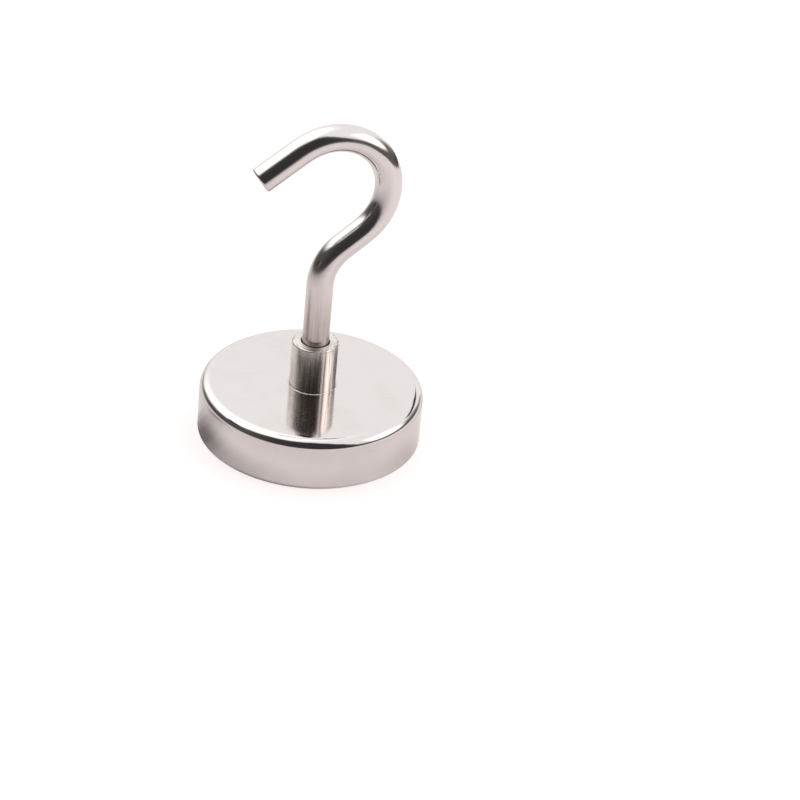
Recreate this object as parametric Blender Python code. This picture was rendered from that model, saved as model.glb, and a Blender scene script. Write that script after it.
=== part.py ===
"""A magnetic hook: a steel pot that holds a bonded disc magnet, a staked threaded neck and a bent-rod hook.

Lengths are in metres and +Z is up. The origin is the middle of the magnet's face, the flat face that
clings to steel. The hook's rod lies in the XZ plane with its tip towards -X, and it turns about Z.
"""

import math

import bmesh
import bpy
from mathutils import Vector

# Clearances
GAP = 0.0003  # between two pieces that sit on or in each other
THREAD_PLAY = 0.0006  # radial, which leaves a little over GAP square to the thread's flanks

# Steel pot
POT_DIAMETER = 0.075
POT_HEIGHT = 0.018
POT_WALL = 0.0065
POT_FLOOR = 0.006
POT_EDGE_RADIUS = 0.0035  # rounding between the pot's back and its side
POT_RIM_CHAMFER = 0.0004  # at both edges of the rim that meets the steel

# Magnet, with the film and the ring of resin that hold it in the pot
RESIN_WIDTH = 0.0019
RESIN_RECESS = 0.0004  # how far the ring lies back from the magnet's face
FILM_THICKNESS = 0.0004
MAGNET_CHAMFER = 0.0005

# Threaded neck
NECK_HEIGHT = 0.0164  # above the pot's back
NECK_WALL = 0.0022  # outside the thread's grooves
NECK_CHAMFER = 0.0006
MOUTH_FLARE = 0.0004  # chamfer at the mouth, where the plain rod goes in
SPIGOT_WALL = 0.00165  # outside the plain bore, where the neck passes through the pot's floor
STAKE_FLARE = 0.0012  # how far the spigot's foot is spread into the pot's countersink

# Thread
THREAD_DIAMETER = 0.010
THREAD_DEPTH = 0.00095
THREAD_PITCH = 0.0015
THREAD_LENGTH = 0.0135
CREST_FLAT_SHARE = 0.125  # of the pitch

# Hook
ROD_DIAMETER = 0.009
SHANK_RISE = 0.0214  # straight shank above the neck's mouth
SIDE_BEND_RADIUS = 0.0165  # all bends are measured to the middle of the rod
SIDE_BEND_ANGLE = math.radians(53.0)
SLANT_LENGTH = 0.0084
CROOK_RADIUS = 0.0195
CROOK_ANGLE = math.radians(178.0)
TIP_LENGTH = 0.0165
TIP_CHAMFER = 0.0007
FOOT_CHAMFER = 0.0010

# Facets
POT_SIDES = 72
NECK_SIDES = 36
ROD_SIDES = 36
EDGE_STEPS = 6  # facets across the pot's rounded edge
BEND_STEP = math.radians(6.0)
SMOOTH_ANGLE = math.radians(25.0)
QUARTER_TURN = math.radians(90.0)
WELD = 0.000001

# Sizes that follow from the ones above
POT_RADIUS = POT_DIAMETER / 2
CAVITY_RADIUS = POT_RADIUS - POT_WALL
CAVITY_DEPTH = POT_HEIGHT - POT_FLOOR
RESIN_OUTER_RADIUS = CAVITY_RADIUS - GAP
RESIN_INNER_RADIUS = RESIN_OUTER_RADIUS - RESIN_WIDTH
MAGNET_RADIUS = RESIN_INNER_RADIUS - GAP
FILM_TOP = CAVITY_DEPTH - GAP
FILM_FOOT = FILM_TOP - FILM_THICKNESS
MAGNET_THICKNESS = FILM_FOOT - GAP
CREST_RADIUS = THREAD_DIAMETER / 2
ROOT_RADIUS = CREST_RADIUS - THREAD_DEPTH
BORE_RADIUS = ROOT_RADIUS + THREAD_PLAY
GROOVE_RADIUS = CREST_RADIUS + THREAD_PLAY
NECK_RADIUS = GROOVE_RADIUS + NECK_WALL
NECK_TOP = POT_HEIGHT + NECK_HEIGHT
SPIGOT_RADIUS = BORE_RADIUS + SPIGOT_WALL
HOLE_RADIUS = SPIGOT_RADIUS + GAP
THREAD_TURNS = round(THREAD_LENGTH / THREAD_PITCH)
ROD_RADIUS = ROD_DIAMETER / 2
THREAD_RUNOUT = abs(ROD_RADIUS - ROOT_RADIUS)  # a 45 degree cone from the thread's root to the plain rod
FIRST_CREST_DEPTH = MOUTH_FLARE + THREAD_RUNOUT + THREAD_PITCH / 2  # below the mouth
LIP_RADIUS = max(ROD_RADIUS + GAP, BORE_RADIUS)
SIDEWAYS = Vector((0, 1, 0))  # square to the plane that the rod is bent in

# Finishes, as linear colour, metallic and roughness
NICKEL = ("nickel_plate", (0.70, 0.68, 0.65), 1.0, 0.12)
MAGNET_NICKEL = ("magnet_nickel", (0.62, 0.61, 0.60), 1.0, 0.22)
RESIN = ("potting_resin", (0.045, 0.045, 0.050), 0.0, 0.35)
ADHESIVE = ("adhesive", (0.42, 0.36, 0.22), 0.0, 0.45)


def clear_scene():
    for old in list(bpy.data.objects):
        bpy.data.objects.remove(old, do_unlink=True)


def material(finish):
    """The material of that finish, made the first time it is asked for."""
    name, colour, metallic, roughness = finish
    made = bpy.data.materials.get(name) or bpy.data.materials.new(name)
    made.use_nodes = True
    shader = made.node_tree.nodes["Principled BSDF"]
    shader.inputs["Base Color"].default_value = (*colour, 1.0)
    shader.inputs["Metallic"].default_value = metallic
    shader.inputs["Roughness"].default_value = roughness
    return made


def finished(name, shape, finish):
    """Turns a bmesh into a named object, smooth on its round faces and crisp at its edges."""
    bmesh.ops.remove_doubles(shape, verts=shape.verts, dist=WELD)
    bmesh.ops.recalc_face_normals(shape, faces=shape.faces)
    mesh = bpy.data.meshes.new(name)
    shape.to_mesh(mesh)
    shape.free()
    mesh.shade_smooth()
    mesh.set_sharp_from_angle(angle=SMOOTH_ANGLE)
    mesh.materials.append(material(finish))
    piece = bpy.data.objects.new(name, mesh)
    bpy.context.scene.collection.objects.link(piece)
    return piece


def turned(name, outline, closed, sides, finish):
    """Spins an outline of (radius, height) points about Z. A closed one leaves a hole down the middle."""
    shape = bmesh.new()
    points = [shape.verts.new((radius, 0, height)) for radius, height in outline]
    after = points[1:] + points[:1] if closed else points[1:]
    edges = [shape.edges.new(pair) for pair in zip(points, after)]
    bmesh.ops.spin(
        shape,
        geom=points + edges,
        cent=(0, 0, 0),
        axis=(0, 0, 1),
        angle=math.tau,
        steps=sides,
        use_merge=True,
    )
    return finished(name, shape, finish)


def ridges(top, play):
    """The thread's outline from its upper runout down, as (radius, height), moved outwards by play.

    Plain rings stand in for the helix, so the hook can turn in the neck without moving along it.
    """
    half_flat = THREAD_PITCH * CREST_FLAT_SHARE / 2
    half_pitch = THREAD_PITCH / 2
    crest = CREST_RADIUS + play
    root = ROOT_RADIUS + play
    outline = [(root, top + half_pitch)]
    for turn in range(THREAD_TURNS):
        middle = top - turn * THREAD_PITCH
        outline += [(crest, middle + half_flat), (crest, middle - half_flat), (root, middle - half_pitch)]
    return outline


def make_pot():
    """A cup of mild steel, open at the rim, with a countersunk hole through its floor for the neck."""
    corner_radius = POT_RADIUS - POT_EDGE_RADIUS
    corner_height = POT_HEIGHT - POT_EDGE_RADIUS
    edge = []
    for step in range(EDGE_STEPS + 1):
        turn = QUARTER_TURN * step / EDGE_STEPS
        radius = corner_radius + POT_EDGE_RADIUS * math.sin(turn)
        height = corner_height + POT_EDGE_RADIUS * math.cos(turn)
        edge.append((radius, height))
    outline = [
        (HOLE_RADIUS, POT_HEIGHT),
        *edge,
        (POT_RADIUS, POT_RIM_CHAMFER),
        (POT_RADIUS - POT_RIM_CHAMFER, 0),
        (CAVITY_RADIUS + POT_RIM_CHAMFER, 0),
        (CAVITY_RADIUS, POT_RIM_CHAMFER),
        (CAVITY_RADIUS, CAVITY_DEPTH),
        (HOLE_RADIUS + STAKE_FLARE, CAVITY_DEPTH),
        (HOLE_RADIUS, CAVITY_DEPTH + STAKE_FLARE),
    ]
    return turned("steel_pot", outline, True, POT_SIDES, NICKEL)


def make_magnet():
    """The disc magnet, flush with the pot's rim."""
    outline = [
        (0, MAGNET_THICKNESS),
        (MAGNET_RADIUS - MAGNET_CHAMFER, MAGNET_THICKNESS),
        (MAGNET_RADIUS, MAGNET_THICKNESS - MAGNET_CHAMFER),
        (MAGNET_RADIUS, MAGNET_CHAMFER),
        (MAGNET_RADIUS - MAGNET_CHAMFER, 0),
        (0, 0),
    ]
    return turned("disc_magnet", outline, False, POT_SIDES, MAGNET_NICKEL)


def make_resin_ring():
    """The ring of potting resin between the magnet and the pot's wall."""
    outline = [
        (RESIN_INNER_RADIUS, MAGNET_THICKNESS),
        (RESIN_OUTER_RADIUS, MAGNET_THICKNESS),
        (RESIN_OUTER_RADIUS, RESIN_RECESS),
        (RESIN_INNER_RADIUS, RESIN_RECESS),
    ]
    return turned("potting_ring", outline, True, POT_SIDES, RESIN)


def make_film():
    """The film of adhesive between the magnet's back and the pot's floor."""
    outline = [(0, FILM_TOP), (RESIN_OUTER_RADIUS, FILM_TOP), (RESIN_OUTER_RADIUS, FILM_FOOT), (0, FILM_FOOT)]
    return turned("adhesive_film", outline, False, POT_SIDES, ADHESIVE)


def make_neck():
    """The threaded bush: its shoulder sits on the pot's back and its spigot is staked under the floor."""
    shoulder = POT_HEIGHT + GAP
    # The stake's cone keeps GAP, square to its 45 degree slope, to the cone cut in the pot.
    slope_loss = GAP * (math.sqrt(2) - 1)
    first, *inner_thread = ridges(NECK_TOP - FIRST_CREST_DEPTH, THREAD_PLAY)
    outline = [
        (LIP_RADIUS + MOUTH_FLARE, NECK_TOP),
        (NECK_RADIUS - NECK_CHAMFER, NECK_TOP),
        (NECK_RADIUS, NECK_TOP - NECK_CHAMFER),
        (NECK_RADIUS, shoulder),
        (SPIGOT_RADIUS, shoulder),
        (SPIGOT_RADIUS, CAVITY_DEPTH + STAKE_FLARE - slope_loss),
        (SPIGOT_RADIUS + STAKE_FLARE - slope_loss, CAVITY_DEPTH),
        (BORE_RADIUS, CAVITY_DEPTH),
        *reversed(inner_thread),
        (LIP_RADIUS, first[1]),
        (LIP_RADIUS, NECK_TOP - MOUTH_FLARE),
    ]
    return turned("threaded_neck", outline, True, NECK_SIDES, NICKEL)


def hook_stations():
    """Stations up the rod from its threaded foot to its tip: x, z, lean from Z towards +X, and radius.

    Heights are above the neck's mouth.
    """
    thread = ridges(-FIRST_CREST_DEPTH, 0)
    runout = thread[0][1] + THREAD_RUNOUT
    foot = thread[-1][1] - FOOT_CHAMFER
    stations = [(0, foot, 0, ROOT_RADIUS - FOOT_CHAMFER)]
    stations += [(0, height, 0, radius) for radius, height in reversed(thread)]
    stations.append((0, runout, 0, ROD_RADIUS))

    x, z, lean = 0, SHANK_RISE, 0
    stations.append((x, z, lean, ROD_RADIUS))
    for radius, angle, straight in (
        (SIDE_BEND_RADIUS, SIDE_BEND_ANGLE, SLANT_LENGTH),
        (CROOK_RADIUS, -CROOK_ANGLE, TIP_LENGTH - TIP_CHAMFER),
    ):
        side = math.copysign(radius, angle)
        middle_x = x + side * math.cos(lean)
        middle_z = z - side * math.sin(lean)
        steps = math.ceil(abs(angle) / BEND_STEP)
        start = lean
        for step in range(1, steps + 1):
            lean = start + angle * step / steps
            x = middle_x - side * math.cos(lean)
            z = middle_z + side * math.sin(lean)
            stations.append((x, z, lean, ROD_RADIUS))
        x += straight * math.sin(lean)
        z += straight * math.cos(lean)
        stations.append((x, z, lean, ROD_RADIUS))
    x += TIP_CHAMFER * math.sin(lean)
    z += TIP_CHAMFER * math.cos(lean)
    stations.append((x, z, lean, ROD_RADIUS - TIP_CHAMFER))
    return stations


def make_hook():
    """One rod, threaded at its foot and bent twice, with its origin on the thread's axis at the mouth."""
    shape = bmesh.new()
    rings = []
    for x, z, lean, radius in hook_stations():
        middle = Vector((x, 0, z))
        across = Vector((math.cos(lean), 0, -math.sin(lean)))
        ring = []
        for side in range(ROD_SIDES):
            turn = math.tau * side / ROD_SIDES
            outwards = math.cos(turn) * across + math.sin(turn) * SIDEWAYS
            ring.append(shape.verts.new(middle + radius * outwards))
        rings.append(ring)
    for lower, upper in zip(rings, rings[1:]):
        for side in range(ROD_SIDES):
            after = (side + 1) % ROD_SIDES
            shape.faces.new((lower[side], lower[after], upper[after], upper[side]))
    shape.faces.new(rings[0])
    shape.faces.new(rings[-1])
    hook = finished("hook_rod", shape, NICKEL)
    hook.location = (0, 0, NECK_TOP)
    return hook


def main():
    clear_scene()
    make_pot()
    make_magnet()
    make_resin_ring()
    make_film()
    make_neck()
    make_hook()


main()
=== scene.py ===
# %% [markdown]
# # A screw-in magnetic hook
# A steel pot holds a disc magnet, a threaded neck stands on its back, and a bent rod is screwed into the
# neck. All the steel is nickel plated and polished, so nearly everything that it shows is a reflection of
# the room. The lesson therefore has three parts: round shapes that are truly smooth, plating with the
# faint marks that real plating has, and a small studio for the metal to mirror.
#
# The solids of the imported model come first. They hold the sizes, and every piece made here sits on them.

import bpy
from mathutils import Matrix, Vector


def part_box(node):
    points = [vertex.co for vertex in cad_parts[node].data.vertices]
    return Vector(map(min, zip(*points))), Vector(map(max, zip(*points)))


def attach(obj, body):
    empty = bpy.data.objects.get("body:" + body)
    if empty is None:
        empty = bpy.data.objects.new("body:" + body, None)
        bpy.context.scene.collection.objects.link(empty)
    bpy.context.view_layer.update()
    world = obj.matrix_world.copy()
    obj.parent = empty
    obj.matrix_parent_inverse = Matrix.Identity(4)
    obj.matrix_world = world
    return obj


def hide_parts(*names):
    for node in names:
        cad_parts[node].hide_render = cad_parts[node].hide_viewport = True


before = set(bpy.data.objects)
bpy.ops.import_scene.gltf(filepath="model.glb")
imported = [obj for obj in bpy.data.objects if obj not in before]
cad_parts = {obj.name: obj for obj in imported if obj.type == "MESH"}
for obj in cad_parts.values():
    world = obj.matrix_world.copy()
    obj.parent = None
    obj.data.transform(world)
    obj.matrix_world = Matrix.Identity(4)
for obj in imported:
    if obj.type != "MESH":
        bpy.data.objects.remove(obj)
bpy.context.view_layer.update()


def in_mm(lengths):
    """Lengths in millimetres, rounded for a print."""
    return [round(1000 * length, 1) for length in lengths]


print("solids:", ", ".join(sorted(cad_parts)))

# %% Tools used below
import math

import bpy
from mathutils import Quaternion, Vector

# %% [markdown]
# ## Sizes
# Outer sizes are read from the solids' boxes, so that a new size there carries over to the looks. Only
# what a box can't tell, such as the radius of a rounded edge, is written here as a value in metres.

# %% Sizes of the pot and the neck
pot_low, pot_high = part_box("steel_pot")
neck_low, neck_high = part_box("threaded_neck")
ring_low, ring_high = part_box("potting_ring")
magnet_low, magnet_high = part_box("disc_magnet")

GAP = 0.0003  # what the solids keep between pieces that touch on the real hook
POT_RADIUS = pot_high.x
POT_TOP = pot_high.z
POT_EDGE_RADIUS = 0.0035
POT_RIM_RADIUS = 0.0004
CAVITY_RADIUS = ring_high.x + GAP
CAVITY_DEPTH = neck_low.z
NECK_RADIUS = neck_high.x
NECK_TOP = neck_high.z
print("pot, in mm:", in_mm(pot_high - pot_low))
print("neck, in mm:", in_mm(neck_high - neck_low))
print("magnet, in mm:", in_mm(magnet_high - magnet_low))

# %% Sizes of the thread and the rod
hook_low, hook_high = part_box("hook_rod")

CREST_RADIUS = hook_high.y
THREAD_DEPTH = 0.00095
THREAD_PITCH = 0.0015
THREAD_TURNS = 9
THREAD_PLAY = 0.0006  # room between the rod's ridges and the neck's grooves
CREST_FLAT_SHARE = 0.125  # of the pitch
FOOT_CHAMFER = 0.001
ROOT_RADIUS = CREST_RADIUS - THREAD_DEPTH
ROD_RADIUS = 0.0045
SHANK_RISE = 0.0214
SIDE_BEND_RADIUS = 0.0165
SIDE_BEND_ANGLE = math.radians(53.0)
SLANT_LENGTH = 0.0084
CROOK_RADIUS = 0.0195
CROOK_ANGLE = math.radians(178.0)
TIP_LENGTH = 0.0165
TIP_ROUNDING = 0.0007
BEND_EASE = 0.002  # a cold bend doesn't start at once: its curve comes in over twice this length

# %% [markdown]
# ## Camera
# The photograph was taken with a long lens, from above and a little to the left of the plane that the rod
# is bent in. The camera also leaned, so upright lines lean to the right in the picture. These values come
# from fitting the pot's outline and the rod's edges.

# %% Camera
VIEW_AZIMUTH = math.radians(-23.52)
VIEW_ELEVATION = math.radians(31.44)
VIEW_LEAN = math.radians(5.605)
VIEW_DISTANCE = 1.00478
VIEW_TARGET = Vector((0.02732, -0.01189, 0.01448))
LENS = 135.0


def put_in_scene(name, data):
    """A new object for that data, linked to the scene."""
    item = bpy.data.objects.new(name, data)
    bpy.context.scene.collection.objects.link(item)
    return item


away = Vector((-math.sin(VIEW_AZIMUTH), math.cos(VIEW_AZIMUTH), 0))
backwards = -away * math.cos(VIEW_ELEVATION) + Vector((0, 0, math.sin(VIEW_ELEVATION)))
camera_data = bpy.data.cameras.new("camera")
camera_data.lens = LENS
camera = put_in_scene("camera", camera_data)
camera.location = VIEW_TARGET + VIEW_DISTANCE * backwards
camera.rotation_mode = "QUATERNION"
camera.rotation_quaternion = (-backwards).to_track_quat("-Z", "Y") @ Quaternion((0, 0, 1), VIEW_LEAN)
bpy.context.scene.camera = camera
bpy.context.scene.view_settings.view_transform = "Standard"
print("camera at", [round(place, 3) for place in camera.location])

# %% [markdown]
# ## Helpers for nodes
# Geometry Nodes and materials are both trees of nodes. These few functions add a node, give its inputs a
# value or a link, and return its output, so that a tree reads like a sum.

# %% Node helpers
def plug(tree, socket, value):
    """Links an output into the socket, or sets the socket to a plain value."""
    if isinstance(value, bpy.types.NodeSocket):
        tree.links.new(value, socket)
    else:
        socket.default_value = value


def plug_all(tree, node, inputs):
    """Gives a node its inputs, by name or by place."""
    for name, value in inputs.items():
        plug(tree, node.inputs[name], value)


def add(tree, kind, inputs=None, **settings):
    """Adds a node with its settings and inputs, the inputs by name or by place."""
    node = tree.nodes.new(kind)
    for name, value in settings.items():
        setattr(node, name, value)
    plug_all(tree, node, inputs or {})
    return node


def calc(tree, operation, *values):
    """One step of arithmetic."""
    return add(tree, "ShaderNodeMath", dict(enumerate(values)), operation=operation).outputs[0]


def ramp(tree, value, start, end, low=0.0, high=1.0):
    """Eases from low to high as the value goes from start to end, and stays there past both."""
    inputs = {"Value": value, "From Min": start, "From Max": end, "To Min": low, "To Max": high}
    return add(tree, "ShaderNodeMapRange", inputs, interpolation_type="SMOOTHSTEP").outputs[0]


def mix_colours(tree, share, first, second):
    """The first colour where share is 0, the second where it is 1."""
    return add(tree, "ShaderNodeMix", {0: share, 6: first, 7: second}, data_type="RGBA").outputs[2]


# %% [markdown]
# ## The pot, the neck and the resin ring
# These are turned pieces: one outline spun about the axis. A polished face shows the smallest error in
# its normals, so each outline has short steps at its round edges and a holding ring beside each, which
# keeps the flat faces flat to the last tenth of a millimetre. Every point also stores how far along the
# outline it lies. The materials draw lathe lines with that.

# %% Turned pieces
HOLD = 0.0001  # how far beside a rounded edge its holding ring lies
SHARP_ANGLE = math.radians(25.0)  # an edge that turns more than this stays sharp


def arc(middle_radius, middle_height, radius, start, end, steps):
    """Points (radius, height) on an arc. Angles in degrees, 0 points outwards and 90 up."""
    points = []
    for step in range(steps + 1):
        turn = math.radians(start + (end - start) * step / steps)
        points.append((middle_radius + radius * math.cos(turn), middle_height + radius * math.sin(turn)))
    return points


def mesh_object(name, points, edges, faces):
    """A new object with a mesh of its own."""
    mesh = bpy.data.meshes.new(name)
    mesh.from_pydata(points, edges, faces)
    return put_in_scene(name, mesh)


def store_values(piece, name, values):
    """Stores one number for each point of a piece as the attribute of that name."""
    piece.data.attributes.new(name, "FLOAT", "POINT").data.foreach_set("value", values)


def shade_smoothly(piece):
    """Smooth shading, but for the edges that stay sharp."""
    piece.data.shade_smooth()
    piece.data.set_sharp_from_angle(angle=SHARP_ANGLE)


def turned(name, outline, sides):
    """Spins a closed outline about Z and stores each point's distance along it as the attribute along."""
    points = []
    faces = []
    along = []
    travelled = 0.0
    before = outline[0]
    for radius, height in outline:
        travelled += math.dist(before, (radius, height))
        before = (radius, height)
        for side in range(sides):
            turn = math.tau * side / sides
            points.append((radius * math.cos(turn), radius * math.sin(turn), height))
            along.append(travelled)
    for row in range(len(outline)):
        lower = row * sides
        upper = (row + 1) % len(outline) * sides
        for side in range(sides):
            after = (side + 1) % sides
            faces.append((lower + side, upper + side, upper + after, lower + after))
    piece = mesh_object(name, points, [], faces)
    store_values(piece, "along", along)
    shade_smoothly(piece)
    print(name, len(faces), "faces,", round(1000 * travelled, 1), "mm of outline")
    return piece


# %% [markdown]
# The pot is drawn and turned from mild steel. Its back is flat, its edge is rounded over 3.5 mm, and the
# rim that meets the steel has both its corners broken. Inside are the cavity for the magnet and the
# countersunk hole that the neck is staked in. Nobody sees those, but the mesh should be as complete as
# the piece.

# %% The pot
SPIGOT_WALL = 0.00165  # steel of the neck's spigot outside its thread
SPIGOT_RADIUS = ROOT_RADIUS + THREAD_PLAY + SPIGOT_WALL
HOLE_RADIUS = SPIGOT_RADIUS + GAP
STAKE_FLARE = 0.0012
POT_SIDES = 288
EDGE_STEPS = 28
RIM_STEPS = 8

edge_middle = POT_RADIUS - POT_EDGE_RADIUS
pot_outline = [
    (HOLE_RADIUS, POT_TOP),
    (edge_middle - HOLD, POT_TOP),
    *arc(edge_middle, POT_TOP - POT_EDGE_RADIUS, POT_EDGE_RADIUS, 90, 0, EDGE_STEPS),
    (POT_RADIUS, POT_TOP - POT_EDGE_RADIUS - HOLD),
    (POT_RADIUS, POT_RIM_RADIUS + HOLD),
    *arc(POT_RADIUS - POT_RIM_RADIUS, POT_RIM_RADIUS, POT_RIM_RADIUS, 0, -90, RIM_STEPS),
    (POT_RADIUS - POT_RIM_RADIUS - HOLD, 0),
    (CAVITY_RADIUS + POT_RIM_RADIUS + HOLD, 0),
    *arc(CAVITY_RADIUS + POT_RIM_RADIUS, POT_RIM_RADIUS, POT_RIM_RADIUS, -90, -180, RIM_STEPS),
    (CAVITY_RADIUS, CAVITY_DEPTH),
    (HOLE_RADIUS + STAKE_FLARE, CAVITY_DEPTH),
    (HOLE_RADIUS, CAVITY_DEPTH + STAKE_FLARE),
]
pot = turned("pot", pot_outline, POT_SIDES)

# %% [markdown]
# The neck is turned from bar. Its top edge was broken with a file while it still turned, which leaves a
# soft rounding. Plating builds up in the corner at its foot, and that tiny fillet catches the light as a
# thin line. The mouth is only a little wider than the rod, with its edge rounded, and the thread starts
# below it. Where the neck is staked into the pot, its flared foot keeps the gap square to the
# countersink.

# %% The neck
NECK_EDGE_RADIUS = 0.0006
NECK_FILLET = 0.00035
MOUTH_FLARE = 0.0004
SEAT = 0.00002  # daylight under the neck's foot, too thin to see
NECK_SIDES = 160
NECK_EDGE_STEPS = 10
MOUTH_STEPS = 8
FILLET_STEPS = 8

groove_radius = CREST_RADIUS + THREAD_PLAY
bore_radius = ROOT_RADIUS + THREAD_PLAY
lip_radius = ROD_RADIUS + GAP
first_crest = FOOT_CHAMFER + THREAD_PITCH * (THREAD_TURNS - 0.5) + hook_low.z
half_flat = THREAD_PITCH * CREST_FLAT_SHARE / 2
grooves = []
for turn in range(THREAD_TURNS):
    middle = first_crest - turn * THREAD_PITCH
    grooves.append((groove_radius, middle + half_flat))
    grooves.append((groove_radius, middle - half_flat))
    grooves.append((bore_radius, middle - THREAD_PITCH / 2))

stake = STAKE_FLARE - GAP * (math.sqrt(2) - 1)
neck_edge_middle = NECK_RADIUS - NECK_EDGE_RADIUS
neck_outline = [
    *arc(lip_radius + MOUTH_FLARE, NECK_TOP - MOUTH_FLARE, MOUTH_FLARE, 180, 90, MOUTH_STEPS),
    (lip_radius + MOUTH_FLARE + HOLD, NECK_TOP),
    (neck_edge_middle - HOLD, NECK_TOP),
    *arc(neck_edge_middle, NECK_TOP - NECK_EDGE_RADIUS, NECK_EDGE_RADIUS, 90, 0, NECK_EDGE_STEPS),
    (NECK_RADIUS, NECK_TOP - NECK_EDGE_RADIUS - HOLD),
    (NECK_RADIUS, POT_TOP + NECK_FILLET + HOLD),
    *arc(NECK_RADIUS + NECK_FILLET, POT_TOP + NECK_FILLET, NECK_FILLET, 180, 265, FILLET_STEPS),
    (NECK_RADIUS + NECK_FILLET, POT_TOP + SEAT),
    (SPIGOT_RADIUS, POT_TOP + SEAT),
    (SPIGOT_RADIUS, CAVITY_DEPTH + stake),
    (SPIGOT_RADIUS + stake, CAVITY_DEPTH),
    (bore_radius, CAVITY_DEPTH),
    *reversed(grooves),
    (lip_radius, first_crest + THREAD_PITCH / 2),
]
neck = turned("neck", neck_outline, NECK_SIDES)

# %% [markdown]
# The resin between the magnet and the pot was poured as a liquid. It shrank a little as it set and clung
# to both walls, so its face is a shallow hollow, which a parabola across the ring gives.

# %% The resin ring
RESIN_HOLLOW = 0.0003
RESIN_STEPS = 12

resin_middle = (magnet_high.x + GAP + ring_high.x) / 2
resin_half = ring_high.x - resin_middle
resin_outline = [(resin_middle + resin_half, ring_high.z)]
for step in range(RESIN_STEPS + 1):
    across = 1 - 2 * step / RESIN_STEPS
    sag = RESIN_HOLLOW * (1 - across * across)
    resin_outline.append((resin_middle + resin_half * across, ring_low.z + sag))
resin_outline.append((resin_middle - resin_half, ring_high.z))
resin_ring = turned("resin_ring", resin_outline, POT_SIDES)

# %% [markdown]
# ## The rod
# The hook is one straight rod that was threaded, then bent twice. Its middle line follows a rule:
# straight, bend to one side, straight, the crook, straight. Blender could skin a curve drawn by hand, but
# then the bends would be guesses. Here a function turns the lean of the rod into points, and Geometry
# Nodes sweep a circle along them.

# %% The rod's middle line
SHANK_START = NECK_TOP - hook_low.z
BENDS = (  # radius of a bend, its angle towards X, and the straight length after it
    (SIDE_BEND_RADIUS, SIDE_BEND_ANGLE, SLANT_LENGTH),
    (CROOK_RADIUS, -CROOK_ANGLE, TIP_LENGTH),
)


def eased(distance):
    """Rises from 0 with slope 1, but rounds the corner over BEND_EASE on both sides of it."""
    if distance < -BEND_EASE:
        return 0.0
    if distance > BEND_EASE:
        return distance
    return (distance + BEND_EASE) ** 2 / (4 * BEND_EASE)


def lean_at(distance):
    """How far the rod leans from Z towards X, at that distance from its foot."""
    lean = 0.0
    start = SHANK_START + SHANK_RISE
    for radius, angle, straight in BENDS:
        end = start + radius * abs(angle)
        lean += angle * (eased(distance - start) - eased(distance - end)) / (end - start)
        start = end + straight
    return lean


# %% [markdown]
# The points lie close together where the radius changes, at the thread and at the rounded tip, and about
# 0.6 mm apart elsewhere. Each step follows the lean at its middle.

# %% Points along the rod
ROD_STEP = 0.0006
TIP_STEPS = 8
bent_lengths = [radius * abs(angle) + straight for radius, angle, straight in BENDS]
ROD_LENGTH = SHANK_START + SHANK_RISE + sum(bent_lengths)
thread_end = FOOT_CHAMFER + THREAD_TURNS * THREAD_PITCH
runout_end = thread_end + ROD_RADIUS - ROOT_RADIUS

stops = [0.0, FOOT_CHAMFER]
for turn in range(THREAD_TURNS):
    root = FOOT_CHAMFER + turn * THREAD_PITCH
    crest = root + THREAD_PITCH / 2
    stops += [crest - half_flat, crest + half_flat, root + THREAD_PITCH]
stops += [runout_end, runout_end + HOLD]
plain_length = ROD_LENGTH - TIP_ROUNDING - runout_end - 2 * HOLD
plain_steps = round(plain_length / ROD_STEP)
stops += [runout_end + HOLD + plain_length * step / plain_steps for step in range(1, plain_steps + 1)]
for step in range(TIP_STEPS + 1):
    turn = math.radians(90.0) * step / TIP_STEPS
    stops.append(ROD_LENGTH - TIP_ROUNDING + TIP_ROUNDING * math.sin(turn))

place = Vector((0, 0, hook_low.z))
rod_points = [place.copy()]
for before, after in zip(stops, stops[1:]):
    lean = lean_at((before + after) / 2)
    place += (after - before) * Vector((math.sin(lean), 0, math.cos(lean)))
    rod_points.append(place.copy())
print(len(rod_points), "points; length and tip, in mm:", in_mm([ROD_LENGTH]), in_mm(rod_points[-1]))

# %% [markdown]
# The tree below takes that line and works out the radius at each point from its distance along the rod: a
# chamfered foot, ridges in the thread, a short cone where the thread runs out, the plain rod, and a
# rounded tip. Every size is a named input. Two attributes go with the surface for the materials: along is
# the distance from the foot, and section is the place on the rod's round section.

# %% Geometry Nodes: helpers and inputs
SIZE_SOCKET = "NodeSocketFloat"


def new_tree(name, inputs):
    """An empty Geometry Nodes tree with named inputs, and its input and output nodes."""
    tree = bpy.data.node_groups.new(name, "GeometryNodeTree")
    tree.interface.new_socket("Geometry", in_out="OUTPUT", socket_type="NodeSocketGeometry")
    tree.interface.new_socket("Line", in_out="INPUT", socket_type="NodeSocketGeometry")
    for label, kind in inputs.items():
        tree.interface.new_socket(label, in_out="INPUT", socket_type=kind)
    return tree, tree.nodes.new("NodeGroupInput").outputs, tree.nodes.new("NodeGroupOutput")


def store(tree, geometry, name, kind, value):
    """Stores a value on each point of a geometry as a named attribute."""
    inputs = {"Geometry": geometry, "Name": name, "Value": value}
    return add(tree, "GeometryNodeStoreNamedAttribute", inputs, data_type=kind, domain="POINT").outputs[0]


rod_sizes = ("Rod Radius", "Root Radius", "Thread Depth", "Pitch", "Crest Flat", "Thread Start",
             "Thread End", "Tip Rounding")
rod_inputs = {label: SIZE_SOCKET for label in rod_sizes}
rod_inputs.update({"Sides": "NodeSocketInt", "Finish": "NodeSocketMaterial"})
sweep, given, result = new_tree("threaded_rod", rod_inputs)

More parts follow.
